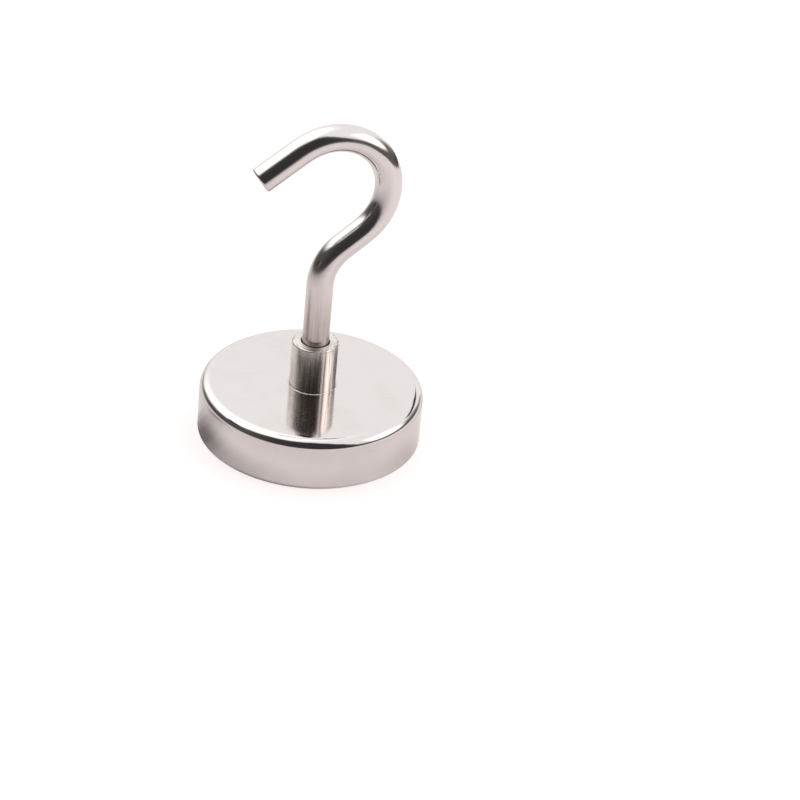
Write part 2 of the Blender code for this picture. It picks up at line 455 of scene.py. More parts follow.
line = add(sweep, "GeometryNodeMeshToCurve", {"Mesh": given["Line"]}).outputs[0]
distance = sweep.nodes.new("GeometryNodeSplineParameter").outputs["Length"]
length = sweep.nodes.new("GeometryNodeSplineLength").outputs["Length"]

# %% Geometry Nodes: the radius along the rod
turns = calc(sweep, "DIVIDE", calc(sweep, "SUBTRACT", distance, given["Thread Start"]), given["Pitch"])
wave = calc(sweep, "MULTIPLY", calc(sweep, "PINGPONG", turns, 0.5), 2.0)
flank = calc(sweep, "SUBTRACT", 1.0, given["Crest Flat"])
ridge = calc(sweep, "MINIMUM", calc(sweep, "DIVIDE", wave, flank), 1.0)
threaded = calc(sweep, "MULTIPLY_ADD", ridge, given["Thread Depth"], given["Root Radius"])

past_thread = calc(sweep, "SUBTRACT", distance, given["Thread End"])
runout = calc(sweep, "MINIMUM", calc(sweep, "ADD", given["Root Radius"], past_thread), given["Rod Radius"])
above = calc(sweep, "GREATER_THAN", past_thread, 0.0)
body = add(sweep, "ShaderNodeMix", {0: above, 2: threaded, 3: runout}, data_type="FLOAT").outputs[0]

short_of_start = calc(sweep, "MAXIMUM", calc(sweep, "SUBTRACT", given["Thread Start"], distance), 0.0)
chamfered = calc(sweep, "SUBTRACT", given["Root Radius"], short_of_start)
at_foot = calc(sweep, "GREATER_THAN", short_of_start, 0.0)
footed = add(sweep, "ShaderNodeMix", {0: at_foot, 2: body, 3: chamfered}, data_type="FLOAT").outputs[0]

from_tip = calc(sweep, "SUBTRACT", length, distance)
into_round = calc(sweep, "MAXIMUM", calc(sweep, "SUBTRACT", given["Tip Rounding"], from_tip), 0.0)
left_over = calc(sweep, "SUBTRACT", calc(sweep, "POWER", given["Tip Rounding"], 2.0),
                 calc(sweep, "POWER", into_round, 2.0))
round_left = calc(sweep, "SQRT", calc(sweep, "MAXIMUM", left_over, 0.0))
rounding = calc(sweep, "SUBTRACT", given["Tip Rounding"], round_left)
radius = calc(sweep, "SUBTRACT", footed, rounding)

# %% Geometry Nodes: the sweep
circle_inputs = {"Resolution": given["Sides"], "Radius": 1.0}
circle = add(sweep, "GeometryNodeCurvePrimitiveCircle", circle_inputs).outputs[0]
on_circle = sweep.nodes.new("GeometryNodeInputPosition").outputs[0]
circle = store(sweep, circle, "section", "FLOAT_VECTOR", on_circle)
line = store(sweep, line, "along", "FLOAT", distance)
swept = add(sweep, "GeometryNodeCurveToMesh",
            {"Curve": line, "Profile Curve": circle, "Scale": radius, "Fill Caps": True}).outputs[0]
solid = add(sweep, "GeometryNodeRealizeInstances", {"Geometry": swept}).outputs[0]
finish_inputs = {"Geometry": solid, "Material": given["Finish"]}
finished = add(sweep, "GeometryNodeSetMaterial", finish_inputs).outputs[0]
plug(sweep, result.inputs[0], finished)
print("tree", sweep.name, "has", len(sweep.nodes), "nodes")

# %% [markdown]
# ## Plating
# Polished nickel is nearly a mirror, and a mirror without a flaw looks false. What tells the eye that it
# is metal is small: lathe lines too fine to count, a haze that thickens and thins across the plate, a few
# hairline scratches, and edges that have been rubbed. Each is a group with named inputs, built once and
# placed in every material with its own values.

# %% Shader group helpers
def new_group(name, inputs, outputs):
    """An empty shader group with named float or vector inputs, given as {name: default}."""
    tree = bpy.data.node_groups.new(name, "ShaderNodeTree")
    for label, default in inputs.items():
        kind = "NodeSocketVector" if isinstance(default, tuple) else "NodeSocketFloat"
        tree.interface.new_socket(label, in_out="INPUT", socket_type=kind).default_value = default
    for label in outputs:
        tree.interface.new_socket(label, in_out="OUTPUT", socket_type="NodeSocketFloat")
    return tree, tree.nodes.new("NodeGroupInput").outputs, tree.nodes.new("NodeGroupOutput").inputs


def use(tree, group, inputs, output=0):
    """Places a group in a material and returns one of its outputs."""
    return add(tree, "ShaderNodeGroup", inputs, node_tree=group).outputs[output]


def noise(tree, place, scale, detail=2.0, roughness=0.5):
    """A noise between 0 and 1, with its middle near a half."""
    inputs = {"Vector": place, "Scale": scale, "Detail": detail, "Roughness": roughness}
    return add(tree, "ShaderNodeTexNoise", inputs).outputs["Fac"]


# %% [markdown]
# Lathe lines run round the axis, so their height changes only with the distance along the outline. One
# noise along one direction is all they need. On the rod the same group takes the place round the section
# instead, and gives the long lines that a drawing die leaves.

# %% Group: fine lines
fine_lines, given, made = new_group(
    "fine_lines", {"Place": (0.0, 0.0, 0.0), "Spacing": 0.0002}, ["Height"])
per_metre = calc(fine_lines, "DIVIDE", 1.0, given["Spacing"])
lines = noise(fine_lines, given["Place"], per_metre, detail=3.0, roughness=0.6)
centred = calc(fine_lines, "SUBTRACT", lines, 0.5)
plug(fine_lines, made["Height"], calc(fine_lines, "MULTIPLY", centred, 2.0))

# %% [markdown]
# Haze is a soft cloud at two scales. It raises the roughness by a few hundredths and warms the colour a
# little, as fingers and air do to nickel in a few months.

# %% Group: haze
SPECKLES_PER_CLOUD = 9.0

haze, given, made = new_group("haze", {"Position": (0.0, 0.0, 0.0), "Size": 0.012}, ["Haze", "Wave"])
per_metre = calc(haze, "DIVIDE", 1.0, given["Size"])
cloud = noise(haze, given["Position"], per_metre, detail=4.0, roughness=0.55)
speckle = noise(haze, given["Position"], calc(haze, "MULTIPLY", per_metre, SPECKLES_PER_CLOUD))
patchy = ramp(haze, cloud, start=0.40, end=0.68)
thinned = ramp(haze, speckle, start=0.30, end=0.70, low=0.55, high=1.0)
plug(haze, made["Haze"], calc(haze, "MULTIPLY", patchy, thinned))
plug(haze, made["Wave"], cloud)

# %% [markdown]
# Hairline scratches are thin, few and straight. A stretched noise would give too many, so the lines are
# the borders of large stretched cells, shown only where a second noise lets them.

# %% Group: scratches
CELL_STRETCH = (1.0, 0.12, 1.0)
HAIR_WIDTH = 0.012  # as a share of a cell
PATCHES_PER_CELL = 2.2

scratches, given, made = new_group(
    "scratches", {"Position": (0.0, 0.0, 0.0), "Turn": 0.4, "Size": 0.009, "Amount": 0.5}, ["Scratch"])
turn_inputs = {"Vector": given["Position"], "Angle": given["Turn"]}
turned_place = add(scratches, "ShaderNodeVectorRotate", turn_inputs, rotation_type="Z_AXIS").outputs[0]
stretched = add(scratches, "ShaderNodeVectorMath",
                {0: turned_place, 1: CELL_STRETCH}, operation="MULTIPLY").outputs[0]
per_metre = calc(scratches, "DIVIDE", 1.0, given["Size"])
border = add(scratches, "ShaderNodeTexVoronoi",
             {"Vector": stretched, "Scale": per_metre}, feature="DISTANCE_TO_EDGE").outputs["Distance"]
hair = ramp(scratches, border, 0.0, HAIR_WIDTH, low=1.0, high=0.0)
where = noise(scratches, given["Position"], calc(scratches, "MULTIPLY", per_metre, PATCHES_PER_CELL))
shown = ramp(scratches, where, start=0.56, end=0.66)
faint = calc(scratches, "MULTIPLY", calc(scratches, "MULTIPLY", hair, shown), given["Amount"])
plug(scratches, made["Scratch"], faint)

# %% [markdown]
# Rubbed edges, and corners and gaps darkened with painted shade, on turned pieces are all rings: places
# near a circle about the axis. The mask is 1 on the circle and fades to 0 over a given width.

# %% Group: ring mask
def squared_sum(tree, first, second):
    """The square of a distance, from its two legs."""
    return calc(tree, "ADD", calc(tree, "POWER", first, 2.0), calc(tree, "POWER", second, 2.0))


ring_mask, given, made = new_group(
    "ring_mask", {"Position": (0.0, 0.0, 0.0), "Radius": 0.01, "Height": 0.0, "Width": 0.001}, ["Mask"])
split = add(ring_mask, "ShaderNodeSeparateXYZ", {0: given["Position"]}).outputs
from_axis = calc(ring_mask, "SQRT", squared_sum(ring_mask, split["X"], split["Y"]))
off_radius = calc(ring_mask, "SUBTRACT", from_axis, given["Radius"])
off_height = calc(ring_mask, "SUBTRACT", split["Z"], given["Height"])
off_circle = calc(ring_mask, "SQRT", squared_sum(ring_mask, off_radius, off_height))
plug(ring_mask, made["Mask"], ramp(ring_mask, off_circle, 0.0, given["Width"], low=1.0, high=0.0))
print("shader groups:", ", ".join(group.name for group in (fine_lines, haze, scratches, ring_mask)))

# %% [markdown]
# ## Materials
# A nickel material starts from the plate's own colour and polish, and the marks are laid over it one
# after the other. The next helpers make a new material, and places for the fine lines: each place changes
# fast across the lines and hardly at all along them.

# %% Material helpers
def new_material(name):
    """A new material, its tree and its Principled shader."""
    material = bpy.data.materials.new(name)
    material.use_nodes = True
    return material, material.node_tree, material.node_tree.nodes["Principled BSDF"]


def place_on_piece(tree):
    """The Object coordinates, which are metres from the hook's own origin."""
    return tree.nodes.new("ShaderNodeTexCoord").outputs["Object"]


def attribute(tree, name, output="Fac"):
    return add(tree, "ShaderNodeAttribute", attribute_name=name).outputs[output]


def combine(tree, x, y, z):
    return add(tree, "ShaderNodeCombineXYZ", {0: x, 1: y, 2: z}).outputs[0]


def vector_calc(tree, operation, inputs):
    """One step of arithmetic on vectors."""
    return add(tree, "ShaderNodeVectorMath", inputs, operation=operation).outputs[0]


def bump(tree, distance, height, normal=None, strength=1.0, invert=False):
    """A normal tilted by a height, 1 of which stands for the distance, on top of a given normal."""
    inputs = {"Strength": strength, "Distance": distance, "Height": height}
    if normal is not None:
        inputs["Normal"] = normal
    return add(tree, "ShaderNodeBump", inputs, invert=invert).outputs[0]


# %% Places for fine lines
LATHE_DRIFT = 0.004
DRAWN_DRIFT = 0.02
UPRIGHT_DRIFT = 0.03


def lathe_place(tree, position):
    """Changes only along the outline, with a slow drift round the piece so that no line is perfect."""
    drift = vector_calc(tree, "SCALE", {0: position, "Scale": LATHE_DRIFT})
    outline = combine(tree, attribute(tree, "along"), 0.0, 0.0)
    return vector_calc(tree, "ADD", {0: outline, 1: drift})


def drawn_place(tree, position):
    """Changes round the rod's section, and only slowly along the rod."""
    section = vector_calc(tree, "SCALE", {0: attribute(tree, "section", "Vector"), "Scale": ROD_RADIUS})
    slow = combine(tree, 0.0, 0.0, calc(tree, "MULTIPLY", attribute(tree, "along"), DRAWN_DRIFT))
    return vector_calc(tree, "ADD", {0: section, 1: slow})


def upright_place(tree, position):
    """Changes round an upright piece, and only slowly along it."""
    return vector_calc(tree, "MULTIPLY", {0: position, 1: (1.0, 1.0, UPRIGHT_DRIFT)})


# %% [markdown]
# Some marks belong to one piece or one spot. Each is a small function that takes the colour and the
# roughness as they are so far and returns them with the mark added. Rubbed rings show a little steel; the
# other rings are painted shade, dark as grime, in a corner or a gap. The thread is darker with grime and
# painted shade in the bore. The rod is painted darker just above the neck: some tarnish, and painted shade
# for the dimmer floor it mirrors near the pot. The neck's turned end face is rougher than its wall, and
# brown streaks run down that wall.

# %% Marks on one piece
BARE_STEEL = (0.480, 0.465, 0.455, 1.0)
# painted shade with grime: the colour of the dark rings in a corner and a gap, and of the thread in the bore
GRIME_AND_SHADE = (0.110, 0.085, 0.070, 1.0)
# painted shade with tarnish: the rod's colour just above the neck, where it mirrors the dimmer floor near
# the pot
TARNISH_AND_SHADE = (0.400, 0.350, 0.325, 1.0)
STREAK = (0.310, 0.245, 0.195, 1.0)
RUBBED_SHARE = 0.5
SHADED_RING_SHARE = 0.8
GRIME_AND_SHADE_SHARE = 0.85
STREAKED_SHARE = 0.9
RING_ROUGHNESS = 0.12
GRIME_ROUGHNESS = 0.25
FACED_ROUGHNESS = 0.16
FACE_FADE = 0.0002  # the end face's finish fades over this distance to both sides of its border
GRIME_AND_SHADE_FADE = (-0.0004, 0.0006)  # where the thread's grime and painted shade start to fade and are gone, from its border
STREAK_HEIGHTS = (-0.06, 0.28)  # heights of the fine lines at which a streak starts and is full
TARNISH_AND_SHADE_IN_LINES = (1.2, 0.85)  # tarnish and painted shade are the height of the fine lines times the first, plus the second


def with_rings(tree, position, rings, colour, rough):
    """Adds circles of (radius, height, width, rubbed): rubbed ones wear, the others are painted shade with
    grime.
    """
    for radius, height, width, rubbed in rings:
        circle = {"Position": position, "Radius": radius, "Height": height, "Width": width}
        mask = use(tree, ring_mask, circle)
        mask = calc(tree, "MULTIPLY", mask, RUBBED_SHARE if rubbed else SHADED_RING_SHARE)
        colour = mix_colours(tree, mask, colour, BARE_STEEL if rubbed else GRIME_AND_SHADE)
        rough = calc(tree, "MULTIPLY_ADD", mask, RING_ROUGHNESS, rough)
    return colour, rough


def with_grime_and_shade(tree, border, colour, rough):
    """Adds grime and painted shade up to a border, given as a distance along the rod."""
    start, end = border + GRIME_AND_SHADE_FADE[0], border + GRIME_AND_SHADE_FADE[1]
    grimy_and_shaded = ramp(tree, attribute(tree, "along"), start, end, GRIME_AND_SHADE_SHARE, 0.0)
    rough = calc(tree, "MULTIPLY_ADD", grimy_and_shaded, GRIME_ROUGHNESS, rough)
    return mix_colours(tree, grimy_and_shaded, colour, GRIME_AND_SHADE), rough


def with_streaks(tree, position, border, spacing, colour):
    """Adds upright streaks past a border, given as a distance along the outline."""
    height = use(tree, fine_lines, {"Place": upright_place(tree, position), "Spacing": spacing})
    streaked = ramp(tree, height, *STREAK_HEIGHTS, 0.0, STREAKED_SHARE)
    on_wall = ramp(tree, attribute(tree, "along"), border - FACE_FADE, border + FACE_FADE)
    return mix_colours(tree, calc(tree, "MULTIPLY", streaked, on_wall), colour, STREAK)


def with_tarnish_and_shade(tree, start, end, grain, colour):
    """Adds tarnish with painted shade, fading from start to end along the rod and deeper in the drawn lines.
    """
    lined = calc(tree, "MULTIPLY_ADD", grain, *TARNISH_AND_SHADE_IN_LINES)
    fading = ramp(tree, attribute(tree, "along"), start, end, 1.0, 0.0)
    return mix_colours(tree, calc(tree, "MULTIPLY", lined, fading), colour, TARNISH_AND_SHADE)


# %% [markdown]
# All the nickel materials start from one function, which places the groups and leaves the shader itself
# in the material. Grooves that run round a piece blur what it mirrors along the axis only. The
# anisotropic input of the shader does that, with the tangent set to run round Z and the blur turned a
# quarter from it. Lines, scratches and a faint waviness also tilt the surface, through three Bump nodes
# in a row.

# %% Nickel plate
NICKEL = (0.635, 0.605, 0.597, 1.0)
WARM_NICKEL = (0.570, 0.530, 0.500, 1.0)
GRAZING_TINT = (0.88, 0.87, 0.86, 1.0)  # the plate mirrors a little less where it is seen nearly edge on
HAZE_WARMTH = 0.35
HAZE_ROUGHNESS = 0.05
SCRATCH_ROUGHNESS = 0.18
SCRATCH_DEPTH = 0.000004
SCRATCH_STRENGTH = 0.4
WAVE_SIZE = 0.007
CROSSING = {"Size": 0.013, "Amount": 0.35}
CROSSING_TURN = 1.9  # radians from the first set of scratches to the second
QUARTER_TURN = 0.25


def set_round_grooves(tree, shader, strength):
    """Blurs reflections along the axis only."""
    tangent = add(tree, "ShaderNodeTangent", direction_type="RADIAL", axis="Z").outputs[0]
    plug_all(tree, shader, {
        "Anisotropic": strength, "Anisotropic Rotation": QUARTER_TURN, "Tangent": tangent})


def nickel(name, lines, roughness, line_height, line_spacing, rings=(), turn=0.4, wave_height=0.00001,
           round_grooves=0.0, grime_and_shade_below=None, tarnish_and_shade=None, faced=None, streaks=None, plate=NICKEL):
    """Nickel plate with its fine lines, and the marks that the other arguments ask for.

    grime_and_shade_below and tarnish are distances along the rod. faced is how far the end face reaches along the
    outline, and streaks the spacing of the streaks on the wall below it.
    """
    material, tree, shader = new_material(name)
    position = place_on_piece(tree)
    plug_all(tree, shader, {"Metallic": 1.0, "Specular Tint": GRAZING_TINT})
    if round_grooves:
        set_round_grooves(tree, shader, round_grooves)

    dull = use(tree, haze, {"Position": position}, "Haze")
    wave = use(tree, haze, {"Position": position, "Size": WAVE_SIZE}, "Wave")
    hairs = use(tree, scratches, {"Position": position, "Turn": turn})
    crossing = use(tree, scratches, {"Position": position, "Turn": turn + CROSSING_TURN, **CROSSING})
    hairs = calc(tree, "MAXIMUM", hairs, crossing)
    grain = use(tree, fine_lines, {"Place": lines(tree, position), "Spacing": line_spacing})

    colour = mix_colours(tree, calc(tree, "MULTIPLY", dull, HAZE_WARMTH), plate, WARM_NICKEL)
    rough = calc(tree, "MULTIPLY_ADD", dull, HAZE_ROUGHNESS, roughness)
    colour, rough = with_rings(tree, position, rings, colour, rough)
    rough = calc(tree, "MULTIPLY_ADD", hairs, SCRATCH_ROUGHNESS, rough)
    if grime_and_shade_below:
        colour, rough = with_grime_and_shade(tree, grime_and_shade_below, colour, rough)
    if streaks:
        colour = with_streaks(tree, position, faced, streaks, colour)
    if faced:
        along = attribute(tree, "along")
        cut = ramp(tree, along, faced - FACE_FADE, faced + FACE_FADE, FACED_ROUGHNESS, 0.0)
        rough = calc(tree, "ADD", cut, rough)
    if tarnish_and_shade:
        colour = with_tarnish_and_shade(tree, *tarnish_and_shade, grain, colour)

    wavy = bump(tree, wave_height, wave)
    lined = bump(tree, line_height, grain, wavy)
    scored = bump(tree, SCRATCH_DEPTH, hairs, lined, SCRATCH_STRENGTH, invert=True)
    plug_all(tree, shader, {"Base Color": colour, "Roughness": rough, "Normal": scored})
    return material


# %% [markdown]
# Now each piece gets its own values. The pot is the smoothest. The neck is left rougher by the lathe, and
# its grooves blur most. The rod keeps the long lines of the drawing die. Rings wear at the pot's rim and the
# neck's top edge. Painted shade, dark as grime, rings the corner at the neck's foot and the gap in its
# mouth.

# %% Finishes of pot, neck and rod
NECK_NICKEL = (0.675, 0.622, 0.598, 1.0)
TARNISH_AND_SHADE_DIP = 0.002  # depth in the neck from which the rod's tarnish and painted shade fade
TARNISH_AND_SHADE_RISE = 0.026  # height above the neck at which it is gone

pot_finish = nickel(
    "pot_nickel", lathe_place, roughness=0.075, line_height=0.0000006, line_spacing=0.00022,
    round_grooves=0.6,
    # the second ring is painted shade in the corner at the neck's foot
    rings=[(POT_RADIUS, 0.0, 0.0012, True), (NECK_RADIUS, POT_TOP, 0.0006, False)])
neck_finish = nickel(
    "neck_nickel", lathe_place, roughness=0.16, line_height=0.0000012, line_spacing=0.00016, turn=1.1,
    plate=NECK_NICKEL, streaks=0.0011, round_grooves=0.97,
    faced=NECK_RADIUS - lip_radius - NECK_EDGE_RADIUS,
    # the second ring is painted shade in the gap round the rod at the neck's mouth
    rings=[(NECK_RADIUS, NECK_TOP, 0.0010, True), (ROD_RADIUS, NECK_TOP - MOUTH_FLARE, 0.0004, False)])
rod_finish = nickel(
    "rod_nickel", drawn_place, roughness=0.115, line_height=0.0000005, line_spacing=0.00030, turn=0.8,
    # the thread is darkened with grime and painted shade, the rod above the neck with tarnish and painted
    # shade
    wave_height=0.000012, grime_and_shade_below=thread_end,
    tarnish_and_shade=(SHANK_START - TARNISH_AND_SHADE_DIP, SHANK_START + TARNISH_AND_SHADE_RISE))

# %% [markdown]
# ## The rod, made
# A modifier runs the tree on the line. Its inputs are set by the sockets' identifiers, because two
# sockets may share a name. The result is then kept as a plain mesh.

# %% Run the tree
ROD_SIDES = 96


def grown(name, line_points, tree, values):
    """Runs a tree on a line of points and returns the result as a plain mesh object."""
    edges = [(step, step + 1) for step in range(len(line_points) - 1)]
    source = mesh_object(name + "_line", line_points, edges, [])
    modifier = source.modifiers.new(tree.name, "NODES")
    modifier.node_group = tree
    for socket in tree.interface.items_tree:
        if socket.in_out == "INPUT" and socket.name in values:
            modifier[socket.identifier] = values[socket.name]
    graph = bpy.context.evaluated_depsgraph_get()
    made_mesh = bpy.data.meshes.new_from_object(source.evaluated_get(graph), depsgraph=graph)
    bpy.data.objects.remove(source, do_unlink=True)
    made_mesh.name = name
    return put_in_scene(name, made_mesh)


rod = grown("rod", rod_points, sweep, {
    "Rod Radius": ROD_RADIUS, "Root Radius": ROOT_RADIUS, "Thread Depth": THREAD_DEPTH,
    "Pitch": THREAD_PITCH, "Crest Flat": CREST_FLAT_SHARE, "Thread Start": FOOT_CHAMFER,
    "Thread End": thread_end, "Tip Rounding": TIP_ROUNDING, "Sides": ROD_SIDES, "Finish": rod_finish})
shade_smoothly(rod)
print("rod:", len(rod.data.polygons), "faces, attributes", [stored.name for stored in rod.data.attributes])

# %% [markdown]
# ## Magnet, resin and adhesive
# The underside shows the magnet's face in its ring of resin. The magnet is plated too, but ground flat
# first, so it is duller, with the long straight marks of the grinding table. The resin is nearly black,
# glossy in its hollow, with dust in it. The adhesive film is hidden and still gets a finish, because the
# piece exists.

# %% Magnet finish
GROUND_DRIFT = 0.02


def ground_place(tree, position):
    """Changes across one straight direction of the flat face, and only slowly along it."""
    return vector_calc(tree, "MULTIPLY", {0: position, 1: (1.0, GROUND_DRIFT, 1.0)})


magnet_finish = nickel(
    "magnet_nickel", ground_place, roughness=0.26, line_height=0.000002, line_spacing=0.00025, turn=2.3,
    rings=[(magnet_high.x, 0.0, 0.0011, True)])

# %% Resin and adhesive finishes
DUST_SHARE = 1 / 6  # size of the dust's patches as a share of the cloud's


def moulded(name, deep, pale, size, roughness, dust_roughness, depth):
    """A cured resin: two colours in a soft cloud, with specks of dust."""
    material, tree, shader = new_material(name)
    position = place_on_piece(tree)
    cloud = use(tree, haze, {"Position": position, "Size": size}, "Wave")
    dust = use(tree, haze, {"Position": position, "Size": size * DUST_SHARE}, "Haze")
    colour = mix_colours(tree, ramp(tree, cloud, start=0.35, end=0.70), deep, pale)
    rough = calc(tree, "MULTIPLY_ADD", dust, dust_roughness, roughness)
    normal = bump(tree, depth, cloud)
    plug_all(tree, shader, {"Base Color": colour, "Roughness": rough, "Normal": normal})
    return material


resin_finish = moulded(
    "resin", deep=(0.030, 0.030, 0.034, 1.0), pale=(0.065, 0.064, 0.068, 1.0), size=0.004,
    roughness=0.22, dust_roughness=0.25, depth=0.00005)
adhesive_finish = moulded(
    "adhesive", deep=(0.36, 0.30, 0.17, 1.0), pale=(0.50, 0.43, 0.27, 1.0), size=0.006,
    roughness=0.40, dust_roughness=0.15, depth=0.00003)

# %% [markdown]
# Each new piece takes the place of its solid and rides on the body that carries it. The magnet and the
# film are simple discs, so their solids are kept and only get their finish.

# %% Give each piece its finish and its body
FINISHED = (
    (pot, pot_finish, "pot_and_neck", "steel_pot", "pot_plating"),
    (neck, neck_finish, "pot_and_neck", "threaded_neck", "neck_plating"),
    (resin_ring, resin_finish, "pot_and_neck", "potting_ring", "potting_resin"),
    (rod, rod_finish, "hook", "hook_rod", "rod_plating"),
)
for piece, finish, body, node, slot in FINISHED:
    piece.data.materials.clear()
    piece.data.materials.append(finish)
    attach(piece, body)
    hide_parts(node)
for node, finish in (("disc_magnet", magnet_finish), ("adhesive_film", adhesive_finish)):
    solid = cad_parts[node]
    solid.data.materials.clear()
    solid.data.materials.append(finish)
    print(node, "keeps its solid, with the finish", finish.name)

# %% [markdown]
# ## The studio
# The floor is white, and so is the sky above it, a little brighter to the left. Polished metal in such a
# room would be white all over. Photographers stand dark cards beside the camera, and the metal's dark
# lines are their mirror images. None of the cards here is seen by the camera itself.
#
# Compass angles are counted from straight behind the object, clockwise, so 90 is to the right and 180 is
# the camera's side.

# %% Directions
sideways = Vector((away.y, -away.x, 0))
upwards = Vector((0, 0, 1))


def compass(angle):
    """The level direction at that compass angle in degrees."""
    turn = math.radians(angle)
    return math.cos(turn) * away + math.sin(turn) * sideways


def aloft(angle, elevation):
    """The direction at that compass angle and elevation in degrees."""
    lift = math.radians(elevation)
    return math.cos(lift) * compass(angle) + math.sin(lift) * upwards


def smooth(value, start, end):
    """Eases from 0 at start to 1 at end."""
    share = max(0.0, min(1.0, (value - start) / (end - start)))
    return share * share * (3 - 2 * share)


def soft_ends(share, softness):
    """Rises from 0 at both ends of a range from 0 to 1, each over that share of it."""
    return smooth(min(share, 1 - share), 0, softness)


def part_way(start, end, share):
    """The number at that share of the way from start to end."""
    return start + (end - start) * share


def within(table, share):
    """The angle at that share of the way from a table's first row to its last."""
    return part_way(table[0][0], table[-1][0], share)


def between(table, angle, column):
    """Reads a column of a table at an angle, eased between its rows."""
    for left, right in zip(table, table[1:]):
        if left[0] <= angle <= right[0]:
            return part_way(left[column], right[column], smooth(angle, left[0], right[0]))
    return table[-1][column]


# %% [markdown]
# The sky is the world's background. It has one colour, and its strength rises towards a soft bright patch
# high on the left, which brightens the left flank of the round pieces.

# %% Sky
SKY = 1.28
SKY_LEFT = 1.75
SKY_LEFT_MIDDLE = (-75, 50)  # compass angle and elevation
SKY_COLOUR = (1.0, 0.99, 0.99, 1.0)

world = bpy.data.worlds.new("studio")
world.use_nodes = True
bpy.context.scene.world = world
sky = world.node_tree
direction = sky.nodes.new("ShaderNodeTexCoord").outputs["Generated"]
to_left = add(sky, "ShaderNodeVectorMath",
              {0: direction, 1: aloft(*SKY_LEFT_MIDDLE)}, operation="DOT_PRODUCT").outputs["Value"]
brightness = ramp(sky, to_left, start=0.55, end=0.85, low=SKY, high=SKY_LEFT)
plug(sky, sky.nodes["Background"].inputs["Strength"], brightness)
sky.nodes["Background"].inputs["Color"].default_value = SKY_COLOUR

# %% [markdown]
# A white background should cost the hook no extra light. The floor itself is grey, and a glow that only
# the camera and the mirroring metal see lifts it to white. It keeps the hook's shadow, because the glow
# is added to the grey and not put in its place. Seen from below the floor is clear, so that the underside
# of the hook can be looked at.

# %% Floor
FLOOR_RADII = (  # compass angle, radius
    (-180, 0.45), (20, 0.45), (45, 0.53), (112, 0.53), (130, 0.40), (150, 0.44), (180, 0.45),
)
FLOOR_SIDES = 144
FLOOR_DROP = 0.00005  # the floor lies this far below the pot's rim, and its shade as far above
FLOOR_ROUGHNESS = 0.9
FLOOR_COLOUR = (0.36, 0.345, 0.34, 1.0)
FLOOR_GLOW = (0.76, 0.70, 0.70, 1.0)


def stage_object(name, points, faces):
    """A mesh object for the studio, on no body of the hook."""
    staged = mesh_object(name, points, [], faces)
    return staged


floor_rim = []
for side in range(FLOOR_SIDES):
    angle = 180 - 360 * side / FLOOR_SIDES
    floor_rim.append(between(FLOOR_RADII, angle, 1) * compass(angle) - FLOOR_DROP * upwards)
floor = stage_object("floor", floor_rim, [tuple(range(FLOOR_SIDES))])

floor_material, tree, shader = new_material("floor")
plug_all(tree, shader, {
    "Base Color": FLOOR_COLOUR, "Roughness": FLOOR_ROUGHNESS, "Specular IOR Level": 0.0})
path = tree.nodes.new("ShaderNodeLightPath").outputs
mirrored = calc(tree, "MAXIMUM", path["Is Glossy Ray"], path["Is Transmission Ray"])
seen = calc(tree, "MAXIMUM", path["Is Camera Ray"], mirrored)
glow = add(tree, "ShaderNodeEmission", {"Color": FLOOR_GLOW, "Strength": seen}).outputs[0]
both = add(tree, "ShaderNodeAddShader", {0: shader.outputs[0], 1: glow}).outputs[0]
below = tree.nodes.new("ShaderNodeNewGeometry").outputs["Backfacing"]
clear = tree.nodes.new("ShaderNodeBsdfTransparent").outputs[0]
one_sided = add(tree, "ShaderNodeMixShader", {0: below, 1: both, 2: clear}).outputs[0]
plug(tree, tree.nodes["Material Output"].inputs["Surface"], one_sided)
floor.data.materials.append(floor_material)

# %% [markdown]
# Each card is a grid of points. Two attributes lie on it: cover, how much it hides of what is behind,
# which gives it soft borders, and level, how bright it is. The far cards also take their part in the
# light that falls on the floor. The near ones are seen only in mirrors, so that they throw no shadow.

# %% Cards
CARD_TINT = (1.0, 0.96, 0.94, 1.0)

card_material, tree, shader = new_material("card")
tree.nodes.remove(shader)
clear = tree.nodes.new("ShaderNodeBsdfTransparent").outputs[0]
lit_inputs = {"Color": CARD_TINT, "Strength": attribute(tree, "level")}
lit = add(tree, "ShaderNodeEmission", lit_inputs).outputs[0]
mixed = add(tree, "ShaderNodeMixShader", {0: attribute(tree, "cover"), 1: clear, 2: lit}).outputs[0]
plug(tree, tree.nodes["Material Output"].inputs["Surface"], mixed)


def make_card(name, columns, rows, point, far=False):
    """A card from a grid. point(column, row) gives place, cover and level, with both counts as shares."""
    points, cover, level = [], [], []
    for column in range(columns + 1):
        for row in range(rows + 1):
            where, hides, bright = point(column / columns, row / rows)
            points.append(where)
            cover.append(hides)
            level.append(bright)
    faces = []
    for column in range(columns):
        for row in range(rows):
            corner = column * (rows + 1) + row
            faces.append((corner, corner + 1, corner + rows + 2, corner + rows + 1))
    card = stage_object(name, points, faces)
    store_values(card, "cover", cover)
    store_values(card, "level", level)
    card.data.materials.append(card_material)
    card.visible_camera = False
    card.visible_diffuse = far
    card.visible_shadow = far
    print(name, len(faces), "faces")


# %% [markdown]
# The first card is the dark side of the room: a band that is tall behind the camera, low at the sides and
# open behind the object. It draws the long dark stripe on the rod and the dark line on the rim. The
# second is a softbox to the right, which draws the bright streak beside the neck's dark front.

